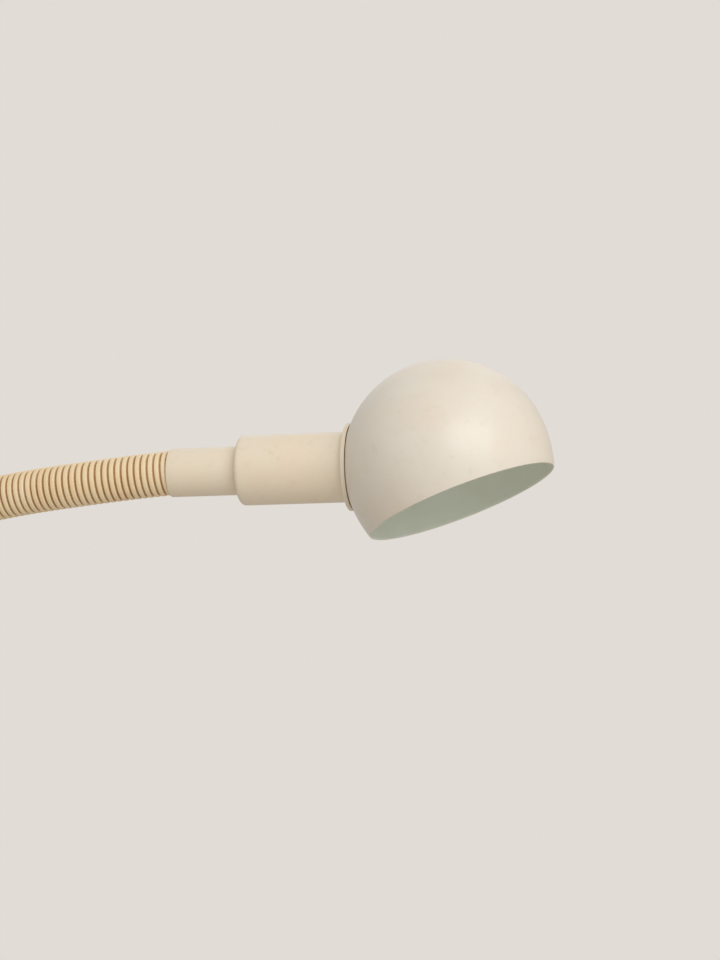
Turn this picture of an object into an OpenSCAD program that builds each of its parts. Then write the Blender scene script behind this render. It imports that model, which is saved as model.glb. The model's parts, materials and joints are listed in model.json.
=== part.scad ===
// Adjustable arm floor lamp: weighted round base, straight stem, ribbed flexible neck,
// and a dome shade that turns on the end of a cylindrical lampholder housing.
// Millimetres. The origin is the centre of the base on the floor, +Z is up, and the
// neck leans towards +X. The neck is a chain of short lengths with a joint between each two.

/* [Base] */
// Diameter of the base cover
base_d = 270; // [225:1:330]
// Height of the base from the floor to the top of its cover
base_h = 28; // [26:0.5:36]
// Thickness of the base cover's sheet metal
cover_wall = 1.6; // [1:0.1:2.5]
// Radius that rounds the cover's top edge
cover_round = 8; // [4:0.5:9]
// Height of the cover's lower edge above the floor
cover_lift = 1; // [0.5:0.1:1.4]
// Thickness of the pad under the base
pad_h = 2; // [1.5:0.1:3]
// Width of the wiring channel under the weight
channel_w = 34; // [30:1:44]
// Height of the wiring channel's ceiling above the floor
channel_z = 19; // [18:0.5:21]

/* [Stem] */
// Outer diameter of the stem tube
stem_d = 28; // [24:0.5:29]
// Wall of the stem tube
stem_wall = 1.5; // [1:0.1:2.5]
// Length of the stem tube
stem_l = 920; // [600:5:1200]
// Diameter of the collar where it meets the base
collar_d = 54; // [44:1:80]
// Height of the collar
collar_h = 22; // [12:1:40]

/* [Neck sleeves] */
// Outer diameter of the sleeve at each end of the neck
sleeve_d = 32; // [31.5:0.1:40]
// Length of each sleeve
sleeve_l = 47.5; // [40:0.5:70]
// Depth of the mouth that takes the end of the ribbed cover
mouth_l = 8; // [6:0.5:12]

/* [Neck] */
// Outer diameter of the ribbed cover
neck_d = 29.6; // [26:0.1:30.2]
// Diameter of the bore in the ribbed cover
cover_bore = 18.4; // [17.8:0.1:21]
// Length of neck from one joint to the next
neck_step = 44.6; // [40:0.1:60]
// Distance from one rib to the next
rib_pitch = 4.46; // [3.5:0.01:8]
// Width of the groove between two ribs
groove_w = 1.7; // [1:0.1:2.5]
// Depth of the groove between two ribs
groove_depth = 1.25; // [0.5:0.05:2]
// Outer diameter of the steel gooseneck inside the cover
core_d = 17; // [14:0.1:17.5]
// Bore of the steel gooseneck
core_bore = 11; // [8:0.1:12]
// Bend of each of the four joints in the tight lower bow
lower_bend = 14.5; // [0:0.5:20]
// Bends of the four joints in the gentle upper bow, from the lowest up
upper_bends = [13, 8.7, 3.5, 1.6]; // [0:0.1:20]
// Sideways bends of the four swing joints, from the lowest up
swing_bends = [0, 0, 4, 6.5]; // [-10:0.1:10]
// Largest angle that any joint in the neck reaches
bend_limit = 23.5; // [20:0.5:26]

/* [Lampholder housing] */
// Angle at which the housing sits off the line of the neck
head_cant = 4; // [0:0.1:4]
// Outer diameter of the housing
housing_d = 46; // [44:0.5:60]
// Length of the housing up to the inner edge of its flange
housing_l = 73; // [66:0.5:90]
// Wall of the housing
housing_wall = 1.2; // [0.8:0.1:2]
// Radius that rounds the housing's back edge
housing_round = 3; // [1:0.5:6]
// Outer diameter of the flange at the housing's front
flange_d = 57.4; // [54:0.1:64]
// Thickness of the flange's rim, whose face is dished to follow the dome
flange_t = 3; // [1:0.1:3.5]

/* [Shade] */
// Outer diameter of the dome
shade_d = 136; // [120:1:170]
// Wall of the dome
shade_wall = 1; // [0.8:0.1:2]
// Height of the skirt from the dome's widest circle down to its rim
skirt_h = 26.9; // [15:0.1:30]
// Outer diameter of the dome at its rim
rim_d = 127.7; // [112:0.1:168]
// Angle from the housing's axis to the way the dome's opening faces
opening_tilt = 69.3; // [60:0.1:80]
// Turn of the dome about the housing's axis as it is set
shade_turn = 0.3; // [-180:0.1:180]

/* [Lampholder and bulb] */
// Outer diameter of the lampholder's threaded barrel
barrel_d = 39; // [37:0.1:40]
// Length of the lampholder
holder_l = 45; // [40:0.5:48]
// Outer diameter of the ring that clamps the dome
ring_d = 50; // [46:0.5:54]
// Diameter of the bulb
bulb_d = 45; // [40:0.5:50]
// Length of the bulb with its cap
bulb_l = 72; // [68:0.5:78]
// Diameter of the bulb's screw cap
cap_d = 26.3; // [26:0.1:26.4]
// Outer diameter of the hollow threaded tube behind the lampholder
nipple_d = 10; // [9.5:0.1:10.5]
// Bore of the hollow threaded tube
nipple_bore = 7; // [6:0.1:7.4]

/* [Foot switch] */
// Distance from the stem to the foot switch
switch_x = 80; // [60:1:95]
// Diameter of the foot switch's button
button_d = 20; // [16:0.5:22]
// Height that the button still stands above its bezel when it is pressed
button_pressed = 2; // [1:0.5:4]
// Travel of the button
button_travel = 3; // [2:0.1:3.5]

/* [Wiring] */
// Diameter of the flex inside the stem and neck
flex_d = 5.2; // [4:0.1:5.6]
// Diameter of the hole in the cable gland
gland_bore = 7.2; // [6:0.1:8]
// Height of the cable gland's axis above the floor
gland_z = 9.5; // [9.5:0.1:10.5]

/* [Hidden] */
$fn = 72;
hinge_gap = 0.3;       // least distance between two lengths of neck at the bend limit
seat = 0.05;           // radial play of a piece that is fixed in another
slide_play = 0.1;      // radial play of the push button, and of the dome on its washer
dome_gap = 0.5;        // gap between the flange and the dome
plate_t = 1.5;         // common thickness of washers and thin plates

base_r = base_d / 2;
cover_inner_r = base_r - cover_wall;
weight_r = cover_inner_r - 2;
weight_top = base_h - cover_wall;

stem_r = stem_d / 2;
stem_bore_r = stem_r - stem_wall;
stem_top = base_h + stem_l;
tube_stop = 2;         // shoulder between the stem tube and the mouth of the sleeve
neck_z = stem_top + tube_stop + mouth_l;

sleeve_r = sleeve_d / 2;
neck_r = neck_d / 2;
core_r = core_d / 2;
core_bore_r = core_bore / 2;
flex_r = flex_d / 2;
mouth_r = neck_r + 0.4;
rib_edge = 0.3;        // height of the softened edge of a rib
cover_tuck = 4;        // length of ribbed cover inside a sleeve's mouth
core_seat = 28;        // depth that the gooseneck is held in a sleeve

nipple_r = nipple_d / 2;
nipple_bore_r = nipple_bore / 2;
nut_r = 9.8;
nut_h = 4.9;

flange_z = sleeve_l + housing_l;                  // inner edge of the flange, along the head
housing_r = housing_d / 2;
housing_bore_r = housing_r - housing_wall;
shade_r = shade_d / 2;
shade_in_r = shade_r - shade_wall;
flange_r = flange_d / 2;
dish_r = shade_r + dome_gap;
shade_z = flange_z + sqrt(pow(dish_r, 2) - pow(housing_bore_r, 2));
barrel_r = barrel_d / 2;
ring_r = ring_d / 2;
ring_h = 5;
ring_z = shade_z - sqrt(pow(shade_in_r - seat, 2) - pow(ring_r, 2));
holder_front = ring_z + ring_h + 1;
holder_back = holder_front - holder_l;
bulb_z = holder_front - 27;                       // tip of the bulb's cap
bulb_r = bulb_d / 2;
globe_z = bulb_z + bulb_l - bulb_r;
cap_r = cap_d / 2;
socket_r = cap_r + 0.45;

button_r = button_d / 2;
bezel_r = button_r + 6;
bezel_neck_r = button_r + 2.5;
switch_r = button_r + 5;
switch_floor = 6;
switch_cavity_r = button_r + 2;
bezel_foot = base_h - 6;                          // lower end of the bezel's neck
bezel_top = base_h + 3;
button_top = bezel_top + button_pressed + button_travel;
button_flange_h = 2;
button_foot = bezel_foot - slide_play - button_flange_h;
switch_plate = 1.5;                               // floor of the switch body

block_x = -76;         // centre of the terminal block
block_l = 28;
block_top = channel_z;
block_h = 15;
clamp_x = -108;        // centre of the cord clamp
flex_z = 5.6;          // height of the flex under the weight
flex_turn_r = 7;       // radius of the flex's turn into the stem
gland_neck_r = gland_bore / 2 + 2.4;
lead_y = 13;
lead_r = 2;
screw_r = 1.7;

// Joints up the neck: t tilts it, s swings it sideways
bend_kinds = ["t", "s", "t", "t", "s", "t", "t", "s", "t", "t", "s", "t"];
tilt_bends = concat([for (i = [0:3]) lower_bend], upper_bends);
joint_count = len(bend_kinds);
function count_before(kind, i) = len([for (k = [0:1:i - 1]) if (bend_kinds[k] == kind) k]);
bends = [for (i = [0:joint_count - 1]) bend_kinds[i] == "t"
    ? [0, tilt_bends[count_before("t", i)], 0]
    : [-swing_bends[count_before("s", i)], 0, 0]];

function two_digits(i) = i < 10 ? str("0", i) : str(i);
cover_nodes = [for (i = [0:joint_count]) str("neck_cover_", two_digits(i))];
core_nodes = [for (i = [0:joint_count]) str("neck_core_", two_digits(i))];

// Colours
enamel = [0.90, 0.84, 0.72];
enamel_pale = [0.90, 0.86, 0.79];
aged_plastic = [0.88, 0.76, 0.58];
steel = [0.62, 0.63, 0.64];
brass = [0.78, 0.64, 0.34];
dark_plastic = [0.16, 0.15, 0.14];
flex_white = [0.86, 0.84, 0.79];

// Places children in the frame of one length of neck. Length 0 stands on the stem, and
// every other length starts at the centre of the joint below it.
module on_neck(i) {
    if (i == 0)
        translate([0, 0, neck_z]) children();
    else
        on_neck(i - 1)
            translate([0, 0, i == 1 ? neck_step / 2 : neck_step])
                rotate(bends[i - 1])
                    children();
}

// Places children on the head, from the mouth of its sleeve along the housing
module on_head() {
    on_neck(joint_count) translate([0, 0, neck_step / 2]) rotate([0, head_cant, 0]) children();
}

module tube(outer, inner, length) {
    difference() {
        cylinder(r = outer, h = length);
        translate([0, 0, -1]) cylinder(r = inner, h = length + 2);
    }
}

// Cross-section of a length of neck between two radii. Each end is cut back as a cone, so
// that it clears its neighbour when the joint there turns to the angle given for that end.
function end_cut(r, turn) = turn > 0 ? hinge_gap / 2 + r * tan(turn / 2) : 0;
function length_section(inner, outer, low, high, low_turn, high_turn) = [
    [inner, low + end_cut(inner, low_turn)],
    [outer, low + end_cut(outer, low_turn)],
    [outer, high - end_cut(outer, high_turn)],
    [inner, high - end_cut(inner, high_turn)]];

// Outline of the ribbed cover from z = start over a number of ribs
function rib_outline(start, count) = concat(
    [[cover_bore / 2, start]],
    [for (i = [0:count - 1]) each rib(start + i * rib_pitch)],
    [[cover_bore / 2, start + count * rib_pitch]]);
function rib(z) = let (from = z + groove_w / 2, to = z + rib_pitch - groove_w / 2,
                       slope = groove_w * 0.17, floor_r = neck_r - groove_depth)
    [[floor_r, from - slope], [neck_r - rib_edge, from], [neck_r, from + slope],
     [neck_r, to - slope], [neck_r - rib_edge, to], [floor_r, to + slope]];

module neck_cover(i) {
    first = i == 0;
    last = i == joint_count;
    low = first ? -cover_tuck : 0;
    high = first ? neck_step / 2 : last ? neck_step / 2 + cover_tuck : neck_step;
    low_turn = first ? 0 : bend_limit;
    high_turn = last ? 0 : bend_limit;
    color(aged_plastic) on_neck(i) rotate_extrude() intersection() {
        polygon(rib_outline(low, ceil((high - low) / rib_pitch)));
        polygon(length_section(0, neck_r + 1, low, high, low_turn, high_turn));
    }
}

// The steel gooseneck. Between two joints the stretch of flex that runs in it is a solid of
// its own beside it, and at the head the gooseneck ends in a fitting held by the sleeve.
module neck_core(i) {
    first = i == 0;
    last = i == joint_count;
    low = first ? -core_seat : 0;
    high = first || last ? neck_step / 2 : neck_step;
    low_turn = first ? 0 : bend_limit;
    high_turn = last ? head_cant : bend_limit;
    color(steel) {
        on_neck(i) rotate_extrude()
            polygon(length_section(core_bore_r, core_r, low, high, low_turn, high_turn));
        if (last)
            on_head() rotate_extrude()
                polygon(length_section(core_bore_r, core_r, 0, core_seat, head_cant, 0));
    }
    if (!first && !last)
        color(flex_white) on_neck(i) rotate_extrude()
            polygon(length_section(0, flex_r, low, high, low_turn, high_turn));
}

// Profile of a plate with a rounded upper edge
module rounded_plate(r, h, edge) {
    square([r - edge, h]);
    square([r, h - edge]);
    translate([r - edge, h - edge]) circle(r = edge);
}

module base_pad() {
    color([0.20, 0.19, 0.18]) cylinder(r = weight_r, h = pad_h);
}

module base_weight() {
    color([0.30, 0.30, 0.31]) difference() {
        translate([0, 0, pad_h]) rotate_extrude()
            intersection() {
                rounded_plate(weight_r, weight_top - pad_h, cover_round);
                square([weight_r, weight_top]);
            }
        translate([-base_r, -channel_w / 2, 0]) cube([base_r + switch_x, channel_w, channel_z]);
        cylinder(r = nipple_r + 0.2, h = base_h);
        translate([switch_x, 0, 0]) cylinder(r = switch_r + 2, h = base_h);
        base_screw_places() cylinder(r = screw_r + seat, h = channel_z + 5);
    }
}

module base_cover() {
    color(enamel) difference() {
        translate([0, 0, cover_lift]) rotate_extrude()
            difference() {
                intersection() {
                    rounded_plate(base_r, base_h - cover_lift, cover_round);
                    square([base_r, base_h]);
                }
                intersection() {
                    rounded_plate(cover_inner_r, weight_top - cover_lift, cover_round - cover_wall);
                    square([base_r, base_h]);
                }
            }
        translate([0, 0, weight_top - 1]) cylinder(r = nipple_r + 0.2, h = base_h);
        translate([switch_x, 0, weight_top - 1]) cylinder(r = bezel_neck_r + seat, h = base_h);
        translate([-base_r - 5, 0, gland_z]) rotate([0, 90, 0])
            cylinder(r = gland_neck_r + seat, h = 20);
    }
}

module stem_collar() {
    collar_r = collar_d / 2;
    lip = 2.5;
    top_r = stem_r + 2.5;
    cove = min(collar_r - top_r, collar_h - lip);
    color(enamel) translate([0, 0, base_h]) difference() {
        rotate_extrude() difference() {
            union() {
                square([top_r, collar_h]);
                square([collar_r, lip]);
                translate([0, lip]) square([top_r + cove, cove]);
            }
            translate([top_r + cove, lip + cove]) circle(r = cove);
        }
        translate([0, 0, -1]) cylinder(r = stem_r + seat, h = collar_h + 2);
    }
}

module stem_tube() {
    color(enamel) translate([0, 0, base_h]) tube(stem_r, stem_bore_r, stem_l);
}

module stem_plug() {
    plug_h = 20;
    core_plug_h = core_seat + 8;
    color(steel) {
        translate([0, 0, base_h]) tube(stem_bore_r - seat, nipple_r + seat, plug_h);
        translate([0, 0, stem_top - core_plug_h]) difference() {
            cylinder(r = stem_bore_r - seat, h = core_plug_h);
            translate([0, 0, -1]) cylinder(r = nipple_r, h = core_plug_h + 2);
            translate([0, 0, neck_z - core_seat - stem_top + core_plug_h])
                cylinder(r = core_r + seat, h = core_plug_h);
        }
    }
}

module stem_stud() {
    foot = channel_z - plate_t - nut_h;
    color(brass) translate([0, 0, foot]) tube(nipple_r, nipple_bore_r, base_h + 20 - foot);
}

module stem_washer() {
    color(steel) translate([0, 0, channel_z - plate_t]) tube(nipple_r + 7, nipple_r + 0.2, plate_t);
}

module hex_nut() {
    difference() {
        cylinder(r = nut_r, h = nut_h, $fn = 6);
        translate([0, 0, -1]) cylinder(r = nipple_r + seat, h = nut_h + 2);
    }
}

module stem_nut() {
    color(brass) translate([0, 0, channel_z - plate_t - nut_h]) hex_nut();
}

module cable_gland() {
    gland_l = 13;
    flange_l = 3;
    color(dark_plastic) translate([-base_r - flange_l, 0, gland_z]) rotate([0, 90, 0]) difference() {
        union() {
            cylinder(r = gland_neck_r, h = gland_l);
            cylinder(r = gland_neck_r + 2.4, h = flange_l);
        }
        translate([0, 0, -1]) cylinder(r = gland_bore / 2, h = gland_l + 2);
    }
}

module base_screw_places() {
    for (y = [-12, 12]) translate([clamp_x, y, 0]) children();
    translate([block_x, 0, 0]) children();
}

module cord_clamp() {
    width = channel_w - 4;
    length = 8;
    cord_top = gland_z + gland_bore / 2;
    color(dark_plastic) difference() {
        translate([clamp_x - length / 2, -width / 2, 0]) {
            translate([0, 0, pad_h + 1.6]) cube([length, width, 2.2]);
            translate([0, 0, cord_top]) cube([length, width, channel_z - cord_top]);
        }
        base_screw_places() cylinder(r = screw_r + seat, h = base_h);
    }
}

module terminal_block() {
    width = channel_w - 2;
    block_foot = block_top - block_h;
    color([0.88, 0.87, 0.83]) difference() {
        translate([block_x - block_l / 2, -width / 2, block_foot]) cube([block_l, width, block_h]);
        base_screw_places() cylinder(r = screw_r + seat, h = base_h);
        for (x = [-7, 7], y = [-10, 10])
            translate([block_x + x, y, block_foot - 1]) cylinder(r = 2, h = 7);
    }
}

module base_screws() {
    head_z = pad_h + 0.1;
    head_h = 1.5;
    shank_z = head_z + head_h;
    color(steel) base_screw_places() {
        translate([0, 0, shank_z]) cylinder(r = screw_r, h = channel_z + 4 - shank_z);
        translate([0, 0, head_z]) cylinder(r = 3, h = head_h);
    }
}

module switch_body() {
    foot = switch_floor - switch_plate;
    color(dark_plastic) translate([switch_x, 0, 0]) difference() {
        translate([0, 0, foot]) cylinder(r = switch_r, h = weight_top - foot);
        translate([0, 0, switch_floor]) cylinder(r = switch_cavity_r, h = bezel_foot - switch_floor);
        translate([0, 0, bezel_foot - 1]) cylinder(r = bezel_neck_r + seat, h = base_h);
    }
}

module switch_bezel() {
    color(steel) translate([switch_x, 0, 0]) difference() {
        union() {
            translate([0, 0, bezel_foot]) cylinder(r = bezel_neck_r, h = bezel_top - bezel_foot);
            translate([0, 0, base_h]) rotate_extrude()
                intersection() {
                    rounded_plate(bezel_r, bezel_top - base_h, 2);
                    square([bezel_r, base_h]);
                }
        }
        translate([0, 0, bezel_foot - 1]) cylinder(r = button_r + slide_play, h = base_h);
    }
}

module switch_button() {
    color(enamel_pale) translate([switch_x, 0, 0]) {
        translate([0, 0, button_foot]) cylinder(r = button_r + 1.7, h = button_flange_h);
        translate([0, 0, button_foot]) rotate_extrude()
            intersection() {
                rounded_plate(button_r, button_top - button_foot, 3);
                square([button_r, base_h]);
            }
    }
}

// A wire swept along a coil, as one closed mesh
module coil(turns, radius, height, wire_r) {
    steps = turns * 14;
    sides = 8;
    rings = [for (i = [0:steps]) let (a = 360 * turns * i / steps)
        [for (k = [0:sides - 1]) let (b = 360 * k / sides, w = radius + wire_r * cos(b))
            [w * cos(a), w * sin(a), wire_r + (height - 2 * wire_r) * i / steps + wire_r * sin(b)]]];
    points = [for (ring = rings) each ring];
    walls = [for (i = [0:steps - 1], k = [0:sides - 1]) let (n = (k + 1) % sides)
        [i * sides + k, (i + 1) * sides + k, (i + 1) * sides + n, i * sides + n]];
    ends = [[for (k = [0:sides - 1]) k], [for (k = [sides - 1:-1:0]) steps * sides + k]];
    polyhedron(points, concat(walls, ends));
}

module switch_spring() {
    color(steel) translate([switch_x, 0, switch_floor + seat])
        coil(5, button_r - 2, button_foot - switch_floor - 2 * seat, 0.6);
}

module switch_lead() {
    lead_end = switch_x - sqrt(pow(switch_r, 2) - pow(lead_y - lead_r, 2)) - seat;
    lead_start = block_x + block_l / 2;
    color(flex_white) translate([lead_start, lead_y, block_top - block_h + 4]) rotate([0, 90, 0])
        cylinder(r = lead_r, h = lead_end - lead_start);
}

// One flex, from the terminal block through the stem up to the first joint of the neck
module stem_flex() {
    block_face = block_x + block_l / 2;
    turn_z = flex_z + flex_turn_r;
    color(flex_white) {
        translate([block_face, 0, flex_z]) rotate([0, 90, 0])
            cylinder(r = flex_r, h = -flex_turn_r - block_face);
        translate([-flex_turn_r, 0, turn_z]) rotate([90, 0, 0]) rotate([0, 0, -90])
            rotate_extrude(angle = 90) translate([flex_turn_r, 0]) circle(r = flex_r);
        rotate_extrude()
            polygon(length_section(0, flex_r, turn_z, neck_z + neck_step / 2, 0, bend_limit));
    }
}

module stem_ferrule() {
    color(enamel) translate([0, 0, neck_z - sleeve_l]) difference() {
        cylinder(r = sleeve_r, h = sleeve_l);
        translate([0, 0, -1]) cylinder(r = stem_r + seat, h = sleeve_l - mouth_l - tube_stop + 1);
        translate([0, 0, -1]) cylinder(r = core_r + seat, h = sleeve_l + 2);
        translate([0, 0, sleeve_l - mouth_l]) cylinder(r = mouth_r, h = mouth_l + 1);
        grub_hole(sleeve_l / 2);
    }
}

// Radial hole for a grub screw, on the side that faces away from the user
module grub_hole(z) {
    translate([0, 0, z]) rotate([-90, 0, 0]) cylinder(r = 2 + seat, h = sleeve_d);
}

module grub_screw(z, from) {
    translate([0, from, z]) rotate([-90, 0, 0]) difference() {
        cylinder(r = 2, h = sleeve_r - 0.4 - from);
        translate([0, 0, sleeve_r - 1 - from]) linear_extrude(2) square([3, 0.7], center = true);
    }
}

module ferrule_screw() {
    color(steel) translate([0, 0, neck_z - sleeve_l]) grub_screw(sleeve_l / 2, stem_r + 0.1);
}

module head_sleeve() {
    color(enamel) on_head() difference() {
        cylinder(r = sleeve_r, h = sleeve_l);
        translate([0, 0, -1]) cylinder(r = mouth_r, h = mouth_l + 1);
        translate([0, 0, -1]) cylinder(r = core_r + seat, h = core_seat + 1);
        translate([0, 0, -1]) cylinder(r = nipple_r + seat, h = sleeve_l + 2);
        grub_hole(sleeve_l / 2 - 4);
    }
}

module sleeve_screw() {
    color(steel) on_head() grub_screw(sleeve_l / 2 - 4, core_r + 0.1);
}

// The housing, turned in one piece with a flange that follows the dome at its front
module housing() {
    lip = flange_r - housing_r;
    cove = lip * 0.6;
    dome_z = shade_z - sleeve_l;
    flange_back = dome_z - sqrt(pow(dish_r, 2) - pow(flange_r, 2)) - flange_t;
    back_wall = housing_wall + 0.6;
    color(enamel) on_head() translate([0, 0, sleeve_l]) rotate_extrude() difference() {
        union() {
            translate([0, flange_back]) mirror([0, 1]) rounded_plate(housing_r, flange_back, housing_round);
            translate([0, flange_back - cove]) square([flange_r, housing_l]);
        }
        translate([0, dome_z]) circle(r = dish_r, $fn = 360);
        translate([housing_r + cove, flange_back - cove]) circle(r = cove);
        translate([housing_r + cove, 0]) square([lip, flange_back]);
        translate([0, back_wall]) square([housing_bore_r, 2 * housing_l]);
        translate([-housing_r, -1]) square([housing_r, 3 * housing_l]);
        translate([-1, -1]) square([nipple_r + 1.2, back_wall + 2]);
        translate([0, dome_z]) square([shade_r, housing_l]);
    }
}

module nipple() {
    start = core_seat + 4;
    color(brass) on_head() translate([0, 0, start]) tube(nipple_r, nipple_bore_r, holder_back + 5 - start);
}

module nipple_nut() {
    color(brass) on_head() translate([0, 0, sleeve_l + housing_wall + 0.6]) hex_nut();
}

module lampholder() {
    cavity_h = 8;
    color([0.90, 0.89, 0.86]) on_head() translate([0, 0, holder_back]) difference() {
        cylinder(r = barrel_r, h = holder_l);
        translate([0, 0, -1]) cylinder(r = nipple_r + seat, h = 8);
        translate([0, 0, 5]) cylinder(r = socket_r, h = cavity_h);
        translate([0, 0, bulb_z - holder_back - 3]) cylinder(r = socket_r, h = holder_l);
    }
}

module lampholder_contacts() {
    floor_z = bulb_z - 3;
    color(brass) on_head() {
        translate([0, 0, floor_z]) cylinder(r = 4, h = 3);
        translate([0, 0, floor_z + 6]) tube(socket_r - seat, cap_r + 0.05, holder_front - floor_z - 8);
    }
}

module head_flex() {
    color(flex_white) {
        on_neck(joint_count) rotate_extrude()
            polygon(length_section(0, flex_r, 0, neck_step / 2, bend_limit, head_cant));
        on_head() rotate_extrude()
            polygon(length_section(0, flex_r, 0, holder_back + 9, head_cant, 0));
    }
}

// Ring of fibre between the flange and the dome, dished to the dome's curve
module friction_washer() {
    inner_r = housing_bore_r + 0.4;
    outer_r = flange_r - 1.2;
    color(dark_plastic) on_head() rotate_extrude() intersection() {
        translate([0, shade_z]) difference() {
            circle(r = dish_r - seat, $fn = 360);
            circle(r = shade_r + slide_play, $fn = 360);
        }
        translate([inner_r, flange_z - 1]) square([outer_r - inner_r, 5]);
    }
}

module shade_ring() {
    color([0.90, 0.89, 0.86]) on_head() translate([0, 0, ring_z]) difference() {
        cylinder(r = ring_r, h = ring_h);
        translate([0, 0, -1]) cylinder(r = barrel_r + seat, h = ring_h + 2);
        for (a = [0:30:330]) rotate(a) translate([ring_r + 0.6, 0, 1.5]) cylinder(r = 1.6, h = ring_h);
    }
}

module bulb_cap() {
    cap_l = 24;
    groove = 0.6;
    color(steel) on_head() translate([0, 0, bulb_z]) rotate_extrude()
        difference() {
            union() {
                square([4.5, 3]);
                translate([0, 2]) square([9, 2]);
                translate([0, 4]) square([cap_r, cap_l - 4]);
            }
            for (i = [0:3]) translate([cap_r, 7 + 3.6 * i]) circle(r = groove);
        }
}

module bulb_glass() {
    wall = 0.8;
    neck_foot = bulb_z + 24 + seat;
    neck_outer = 13;
    color([0.96, 0.95, 0.92, 0.6]) on_head() difference() {
        union() {
            translate([0, 0, globe_z]) sphere(r = bulb_r);
            translate([0, 0, neck_foot]) cylinder(r = neck_outer, h = globe_z - neck_foot);
        }
        translate([0, 0, globe_z]) sphere(r = bulb_r - wall);
        translate([0, 0, neck_foot + wall]) cylinder(r = neck_outer - wall, h = globe_z - neck_foot - wall);
    }
}

// The dome: a hemisphere above a skirt that narrows to the rim
module dome() {
    rim_r = rim_d / 2;
    skirt_arc = (pow(skirt_h, 2) + pow(shade_r - rim_r, 2)) / (2 * (shade_r - rim_r));
    rotate_extrude() {
        intersection() {
            difference() {
                circle(r = shade_r);
                circle(r = shade_in_r);
            }
            square(shade_r);
        }
        intersection() {
            translate([shade_r - skirt_arc, 0]) difference() {
                circle(r = skirt_arc, $fn = 360);
                circle(r = skirt_arc - shade_wall, $fn = 360);
            }
            translate([shade_r / 2, -skirt_h]) square([shade_r, skirt_h + 0.01]);
        }
    }
}

module shade() {
    color(enamel_pale) on_head() difference() {
        translate([0, 0, shade_z]) rotate([0, 0, shade_turn]) rotate([0, opening_tilt - 180, 0]) dome();
        translate([0, 0, flange_z - 10]) cylinder(r = barrel_r + 0.8, h = 40);
    }
}

base_pad();
base_weight();
base_cover();
stem_collar();
stem_tube();
stem_plug();
stem_stud();
stem_washer();
stem_nut();
cable_gland();
cord_clamp();
terminal_block();
base_screws();
switch_body();
switch_bezel();
switch_button();
switch_spring();
switch_lead();
stem_flex();
stem_ferrule();
ferrule_screw();
for (i = [0:joint_count]) {
    neck_cover(i);
    neck_core(i);
}
head_sleeve();
sleeve_screw();
housing();
nipple();
nipple_nut();
lampholder();
lampholder_contacts();
head_flex();
friction_washer();
shade_ring();
bulb_cap();
bulb_glass();
shade();
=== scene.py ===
import json
import math

import bmesh
import bpy
from mathutils import Matrix, Vector

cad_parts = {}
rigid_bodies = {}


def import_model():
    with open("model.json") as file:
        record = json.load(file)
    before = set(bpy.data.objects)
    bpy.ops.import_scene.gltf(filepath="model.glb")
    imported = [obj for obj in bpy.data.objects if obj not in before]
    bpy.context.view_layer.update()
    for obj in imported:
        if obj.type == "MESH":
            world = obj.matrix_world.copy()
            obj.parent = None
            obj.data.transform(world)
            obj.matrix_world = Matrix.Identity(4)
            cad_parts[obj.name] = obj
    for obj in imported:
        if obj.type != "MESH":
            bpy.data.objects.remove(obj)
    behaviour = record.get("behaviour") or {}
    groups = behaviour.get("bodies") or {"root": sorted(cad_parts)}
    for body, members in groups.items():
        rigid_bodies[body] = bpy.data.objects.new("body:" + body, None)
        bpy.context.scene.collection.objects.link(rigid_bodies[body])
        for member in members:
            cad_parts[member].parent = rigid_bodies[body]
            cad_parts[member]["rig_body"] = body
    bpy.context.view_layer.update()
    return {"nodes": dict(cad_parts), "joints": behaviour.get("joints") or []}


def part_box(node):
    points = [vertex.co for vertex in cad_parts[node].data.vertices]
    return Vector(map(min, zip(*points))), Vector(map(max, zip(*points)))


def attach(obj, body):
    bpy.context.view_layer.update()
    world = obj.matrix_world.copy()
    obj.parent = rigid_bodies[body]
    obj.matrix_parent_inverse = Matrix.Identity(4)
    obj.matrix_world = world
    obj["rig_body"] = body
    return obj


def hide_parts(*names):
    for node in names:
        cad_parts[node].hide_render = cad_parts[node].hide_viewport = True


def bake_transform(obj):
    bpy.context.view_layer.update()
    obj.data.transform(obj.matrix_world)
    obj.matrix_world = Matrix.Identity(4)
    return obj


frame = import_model()
nodes = frame["nodes"]
up = Vector((0, 0, 1))
mm = 0.001
print("frame loaded:", len(nodes), "nodes")


# where things are, all taken from the frame

def jointNamed(name):
    return next(joint for joint in frame["joints"] if joint["name"] == name)


def neckJoints():
    # the neck's joints in order, from the stem to the head
    chain, body = [], "stand"
    while body != "head":
        joint = next(j for j in frame["joints"] if j["parent"] == body and j["child"] != "button")
        chain.append(joint)
        body = joint["child"]
    return chain


def placeAlong(origin, axis):
    # z runs along the axis, and x points as nearly down as it can
    z = axis.normalized()
    sideways = Vector((1, 0, 0)) if abs(z.z) > 0.999 else -up
    x = (sideways - z * sideways.dot(z)).normalized()
    place = Matrix((x, z.cross(x), z)).transposed().to_4x4()
    place.translation = origin
    return place


def spanOf(nodeName, origin, axis):
    # lowest and highest point of a node along an axis, and its largest radius about it
    points = [vertex.co - origin for vertex in nodes[nodeName].data.vertices]
    heights = [point.dot(axis) for point in points]
    radii = [(point - axis * height).length for point, height in zip(points, heights)]
    return min(heights), max(heights), max(radii)


swivel = jointNamed("shade_swivel")
domeCentre = Vector(swivel["pos_m"])
headAxis = Vector(swivel["axis"]).normalized()
headDown = placeAlong(domeCentre, headAxis).col[0].to_3d()
sleeveSpan = spanOf("head_sleeve", domeCentre, headAxis)
headMouth = domeCentre + headAxis * sleeveSpan[0]
headPlace = placeAlong(headMouth, headAxis)


# camera, light and floor

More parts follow.
